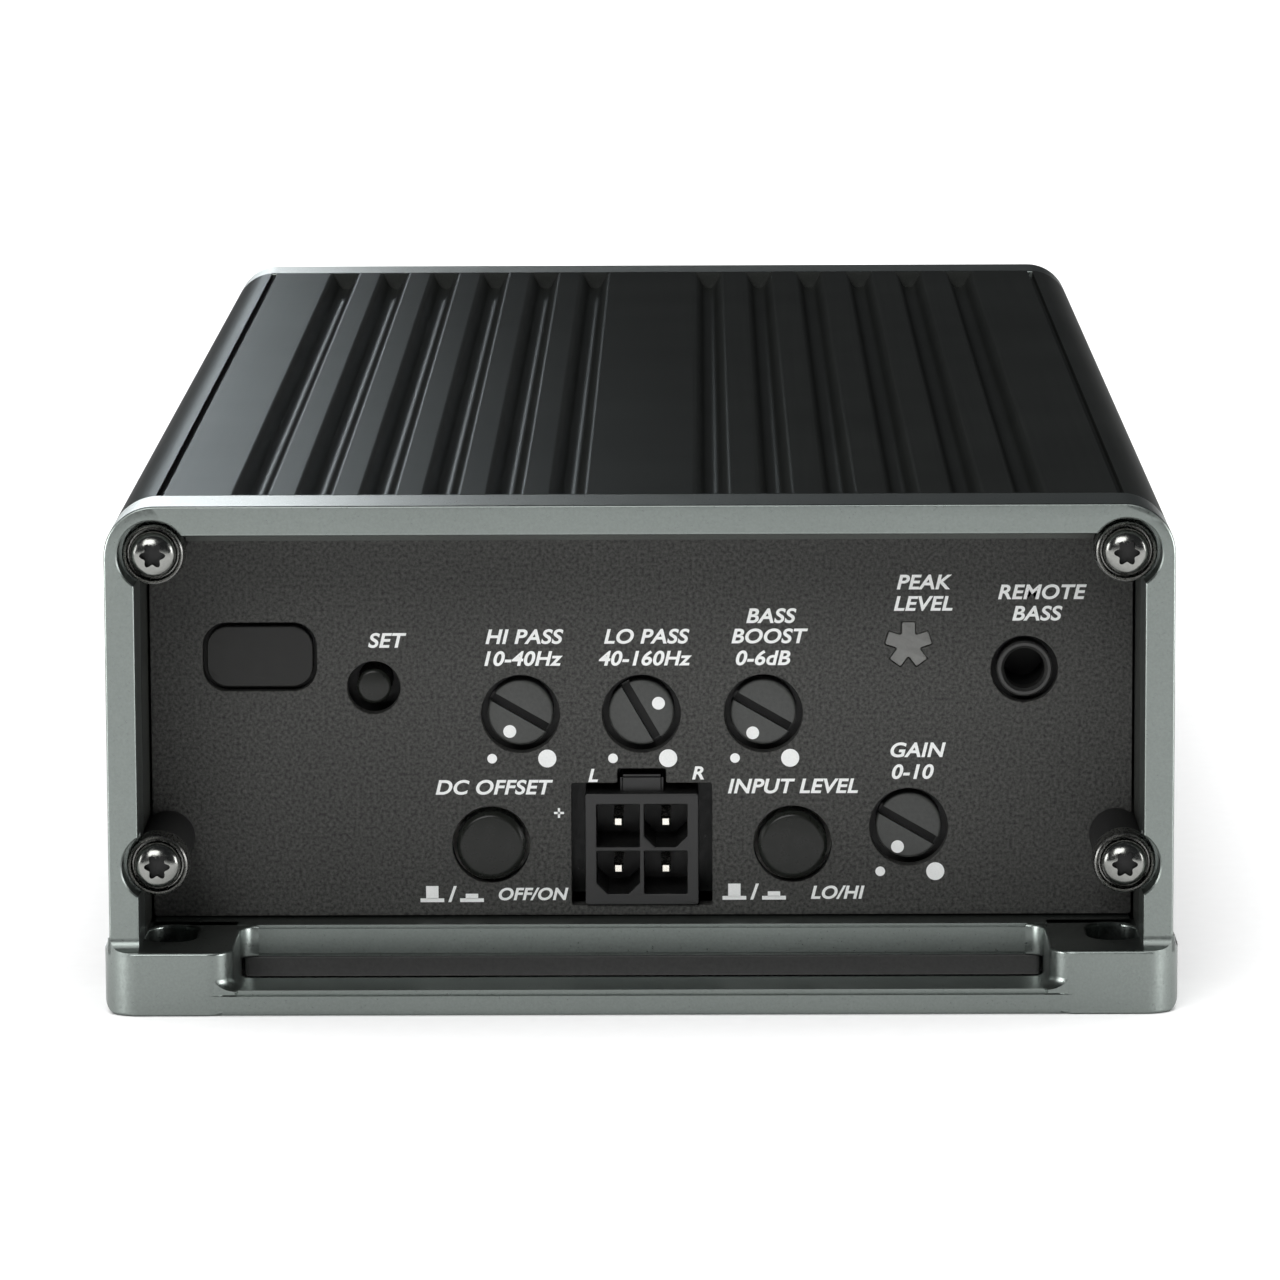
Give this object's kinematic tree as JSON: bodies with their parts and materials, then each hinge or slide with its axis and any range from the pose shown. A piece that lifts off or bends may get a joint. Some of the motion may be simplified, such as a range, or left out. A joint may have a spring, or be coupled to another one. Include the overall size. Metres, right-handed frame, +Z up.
{
  "type": "car amplifier",
  "caption": "Compact finned car audio amplifier with a recessed panel of trimmers and switches at one end and screw terminals with blade fuses at the other.",
  "frame": {"origin": "middle of the bounding box's underside, on the plane of the mounting feet", "axes": "+Y runs the length, from the control end to the power end; +X across, to the right when facing the control panel; +Z up"},
  "size_m": [0.093, 0.19, 0.0444],
  "materials": {
    "heatsink_case": "black anodised, brushed along the length",
    "base_plate": "black powder coat",
    "base_plate_screws": "black zinc",
    "front_end_frame": "cast, fine metallic finish",
    "rear_end_frame": "cast, fine metallic finish",
    "front_frame_screws": "dark nickel",
    "rear_frame_screws": "dark nickel",
    "front_cup_washers": "black oxide",
    "rear_cup_washers": "black oxide",
    "front_panel": "fine grained black",
    "rear_panel": "fine grained black",
    "window_cover": "smooth black",
    "indicator_lens": "smoked translucent grey",
    "indicator_led": "clear epoxy",
    "input_header_housing": "moulded nylon",
    "input_header_pins": "tin plated",
    "remote_jack": "moulded",
    "trimmer_bodies": "moulded",
    "knob_hi_pass": "moulded",
    "knob_lo_pass": "moulded",
    "knob_boost": "moulded",
    "knob_gain": "moulded",
    "latching_switch_bodies": "moulded",
    "button_offset": "smooth black",
    "button_level": "smooth black",
    "setup_switch_body": "moulded",
    "setup_button": "smooth black",
    "control_board": "green solder mask",
    "main_board": "green solder mask",
    "board_standoffs": "turned",
    "board_screws": "zinc",
    "board_link": "moulded",
    "transformer_core": "coated ferrite",
    "transformer_winding": "enamelled copper",
    "inductor_cores": "coated iron powder",
    "inductor_windings": "enamelled copper",
    "bulk_capacitors": "sleeved can",
    "film_capacitors": "dipped",
    "driver_chips": "moulded epoxy",
    "transistors": "moulded epoxy",
    "insulator_pads": "silicone",
    "clamp_bars": "mill finish",
    "clamp_screws": "zinc",
    "power_terminal_strip": "moulded nylon",
    "speaker_terminal_strip": "moulded nylon",
    "terminal_contacts": "tin plated",
    "power_screw_supply": "nickel plated",
    "power_screw_ground": "nickel plated",
    "power_screw_remote": "nickel plated",
    "speaker_screw_plus": "nickel plated",
    "speaker_screw_minus": "nickel plated",
    "fuse_holder": "moulded nylon",
    "fuse_contacts": "tin plated",
    "fuse_lower": "translucent green",
    "fuse_upper": "translucent green"
  },
  "bodies": {
    "chassis": {"heatsink_case": "heatsink_case", "base_plate": "base_plate", "base_plate_screws": "base_plate_screws", "front_end_frame": "front_end_frame", "rear_end_frame": "rear_end_frame", "front_frame_screws": "front_frame_screws", "rear_frame_screws": "rear_frame_screws", "front_cup_washers": "front_cup_washers", "rear_cup_washers": "rear_cup_washers", "front_panel": "front_panel", "rear_panel": "rear_panel", "window_cover": "window_cover", "indicator_lens": "indicator_lens", "indicator_led": "indicator_led", "input_header_housing": "input_header_housing", "input_header_pins": "input_header_pins", "remote_jack": "remote_jack", "trimmer_bodies": "trimmer_bodies", "latching_switch_bodies": "latching_switch_bodies", "setup_switch_body": "setup_switch_body", "control_board": "control_board", "main_board": "main_board", "board_standoffs": "board_standoffs", "board_screws": "board_screws", "board_link": "board_link", "transformer_core": "transformer_core", "transformer_winding": "transformer_winding", "inductor_cores": "inductor_cores", "inductor_windings": "inductor_windings", "bulk_capacitors": "bulk_capacitors", "film_capacitors": "film_capacitors", "driver_chips": "driver_chips", "transistors": "transistors", "insulator_pads": "insulator_pads", "clamp_bars": "clamp_bars", "clamp_screws": "clamp_screws", "power_terminal_strip": "power_terminal_strip", "speaker_terminal_strip": "speaker_terminal_strip", "terminal_contacts": "terminal_contacts", "fuse_holder": "fuse_holder", "fuse_contacts": "fuse_contacts"},
    "knob_hi_pass": {"knob_hi_pass": "knob_hi_pass"},
    "knob_lo_pass": {"knob_lo_pass": "knob_lo_pass"},
    "knob_boost": {"knob_boost": "knob_boost"},
    "knob_gain": {"knob_gain": "knob_gain"},
    "button_offset": {"button_offset": "button_offset"},
    "button_level": {"button_level": "button_level"},
    "setup_button": {"setup_button": "setup_button"},
    "power_screw_supply": {"power_screw_supply": "power_screw_supply"},
    "power_screw_ground": {"power_screw_ground": "power_screw_ground"},
    "power_screw_remote": {"power_screw_remote": "power_screw_remote"},
    "speaker_screw_plus": {"speaker_screw_plus": "speaker_screw_plus"},
    "speaker_screw_minus": {"speaker_screw_minus": "speaker_screw_minus"},
    "fuse_lower": {"fuse_lower": "fuse_lower"},
    "fuse_upper": {"fuse_upper": "fuse_upper"}
  },
  "joints": [
    {"name": "knob_hi_pass_turn", "type": "hinge", "parent": "chassis", "child": "knob_hi_pass", "pos_m": [-0.01065, -0.077, 0.0238], "axis": [0, 1, 0], "range_deg": [0, 290]},
    {"name": "knob_lo_pass_turn", "type": "hinge", "parent": "chassis", "child": "knob_lo_pass", "pos_m": [0, -0.077, 0.0238], "axis": [0, 1, 0], "range_deg": [-210, 80]},
    {"name": "knob_boost_turn", "type": "hinge", "parent": "chassis", "child": "knob_boost", "pos_m": [0.01075, -0.077, 0.0238], "axis": [0, 1, 0], "range_deg": [0, 290]},
    {"name": "knob_gain_turn", "type": "hinge", "parent": "chassis", "child": "knob_gain", "pos_m": [0.02355, -0.077, 0.0136], "axis": [0, 1, 0], "range_deg": [0, 290]},
    {"name": "button_offset_push", "type": "slide", "parent": "chassis", "child": "button_offset", "axis": [0, 1, 0], "range_m": [0, 0.002], "stiffness_N_per_m": 500, "springref_m": -0.001},
    {"name": "button_level_push", "type": "slide", "parent": "chassis", "child": "button_level", "axis": [0, 1, 0], "range_m": [0, 0.002], "stiffness_N_per_m": 500, "springref_m": -0.001},
    {"name": "setup_button_push", "type": "slide", "parent": "chassis", "child": "setup_button", "axis": [0, 1, 0], "range_m": [0, 0.0005], "stiffness_N_per_m": 1500, "springref_m": -0.0005},
    {"name": "power_screw_supply_travel", "type": "slide", "parent": "chassis", "child": "power_screw_supply", "axis": [0, 1, 0], "range_m": [0, 0.004]},
    {"name": "power_screw_ground_travel", "type": "slide", "parent": "chassis", "child": "power_screw_ground", "axis": [0, 1, 0], "range_m": [0, 0.004]},
    {"name": "power_screw_remote_travel", "type": "slide", "parent": "chassis", "child": "power_screw_remote", "axis": [0, 1, 0], "range_m": [0, 0.004]},
    {"name": "speaker_screw_plus_travel", "type": "slide", "parent": "chassis", "child": "speaker_screw_plus", "axis": [0, 1, 0], "range_m": [0, 0.004]},
    {"name": "speaker_screw_minus_travel", "type": "slide", "parent": "chassis", "child": "speaker_screw_minus", "axis": [0, 1, 0], "range_m": [0, 0.004]},
    {"name": "fuse_lower_pull", "type": "slide", "parent": "chassis", "child": "fuse_lower", "axis": [0, 1, 0], "range_m": [0, 0.016]},
    {"name": "fuse_upper_pull", "type": "slide", "parent": "chassis", "child": "fuse_upper", "axis": [0, 1, 0], "range_m": [0, 0.016]}
  ]
}
